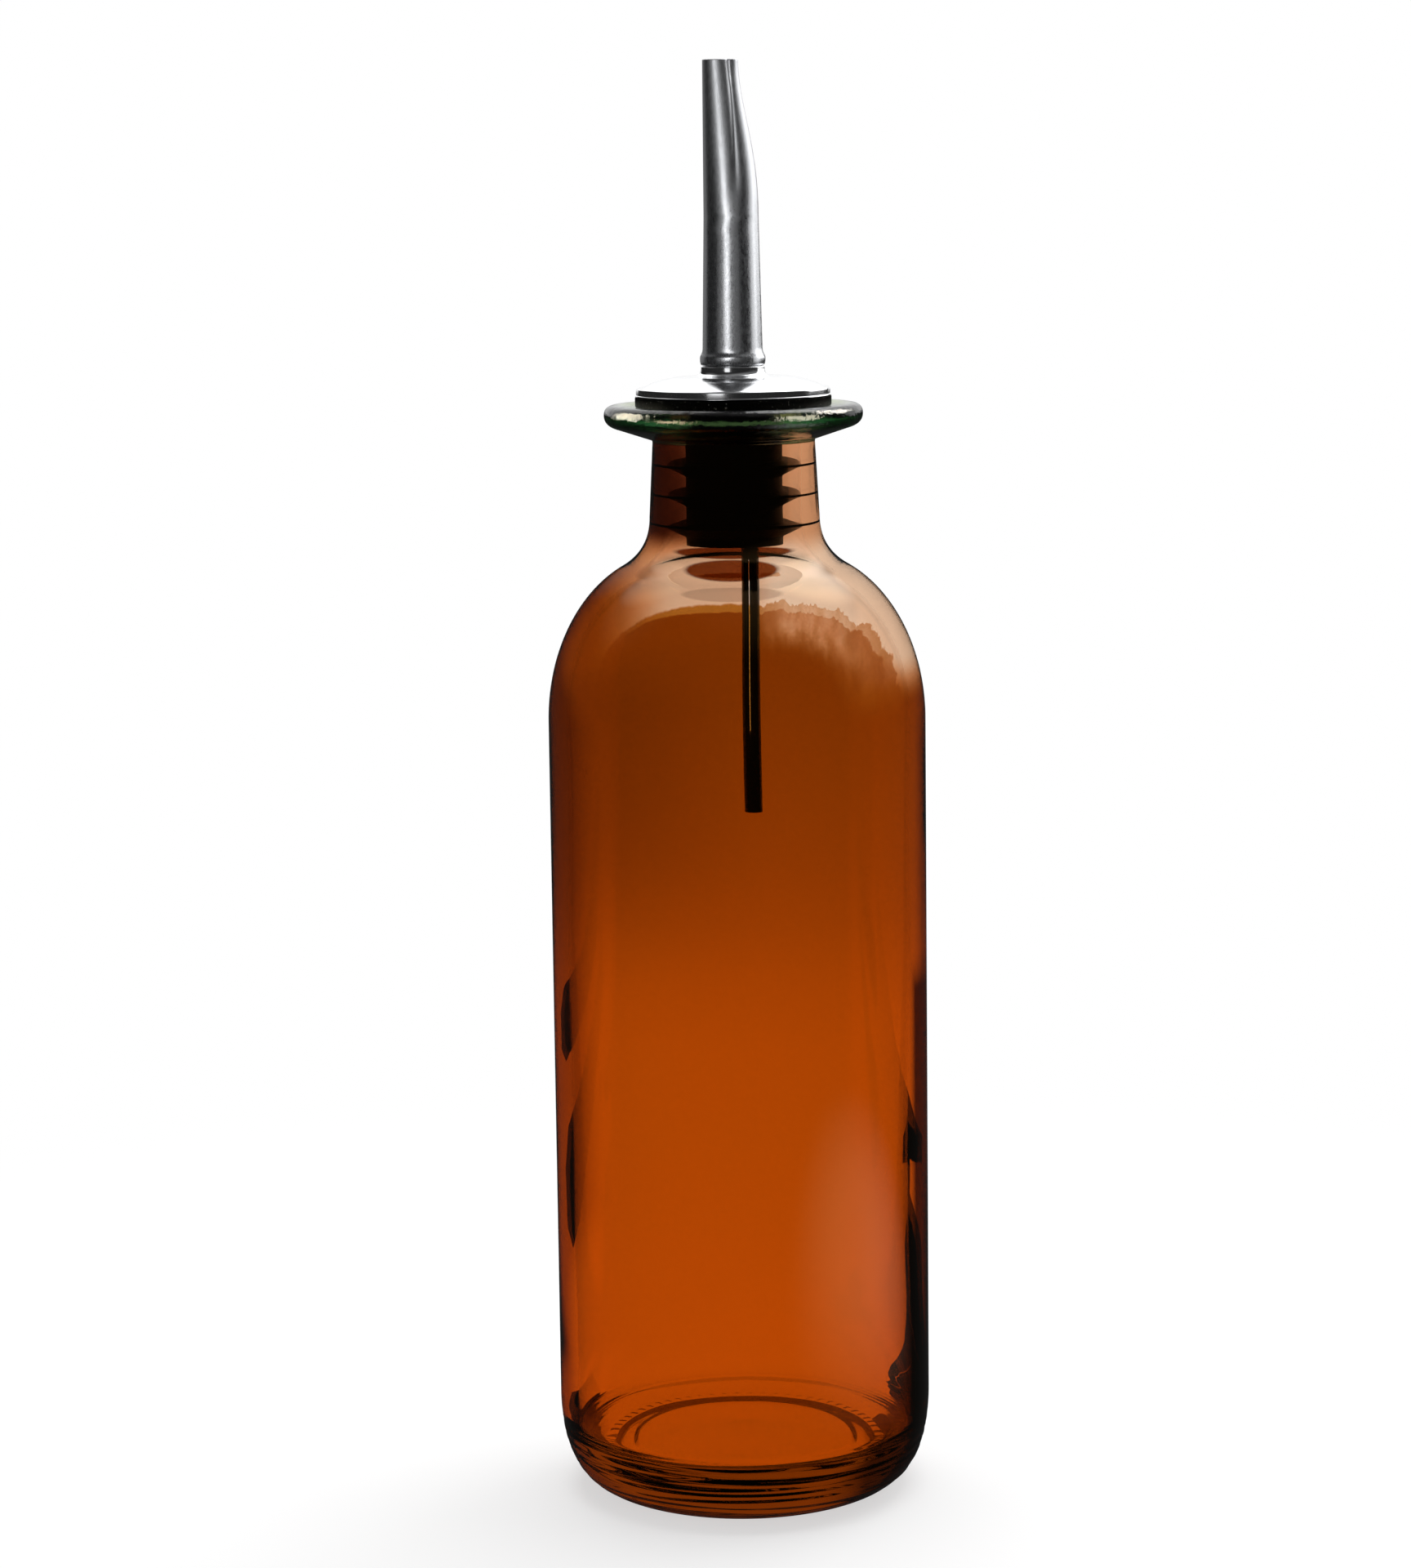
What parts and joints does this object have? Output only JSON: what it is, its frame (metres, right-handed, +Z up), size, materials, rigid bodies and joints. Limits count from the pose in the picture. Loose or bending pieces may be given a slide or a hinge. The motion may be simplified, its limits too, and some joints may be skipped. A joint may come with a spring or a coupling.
{
  "type": "oil and vinegar bottle",
  "caption": "Amber glass bottle for oil or vinegar, with a wide lip and a push-in steel pourer whose pinched spout vents air through a breather tube.",
  "frame": {"origin": "centre of the base, on the plane that the bottle stands on", "axes": "+Z up along the bottle's axis; +X towards the vent side of the spout; the pictured front faces -Y"},
  "size_m": [0.062, 0.062, 0.2362],
  "materials": {
    "amber_glass": "clear amber, smooth",
    "black_rubber": "matt black",
    "polished_steel": "polished stainless steel",
    "satin_steel": "satin stainless steel",
    "black_plastic": "black, smooth"
  },
  "bodies": {
    "bottle": {"bottle": "amber_glass"},
    "stopper": {"stopper": "black_rubber"},
    "spout": {"spout": "satin_steel", "flange_cap": "polished_steel", "vent_tube": "satin_steel", "breather_tube": "black_plastic"}
  },
  "joints": [
    {"name": "pourer_lift", "type": "slide", "parent": "bottle", "child": "stopper", "axis": [0, 0, 1], "range_m": [0, 0.072]},
    {"name": "spout_swivel", "type": "hinge", "parent": "stopper", "child": "spout", "pos_m": [0, 0, 0.1823], "axis": [0, 0, 1], "continuous": true}
  ]
}
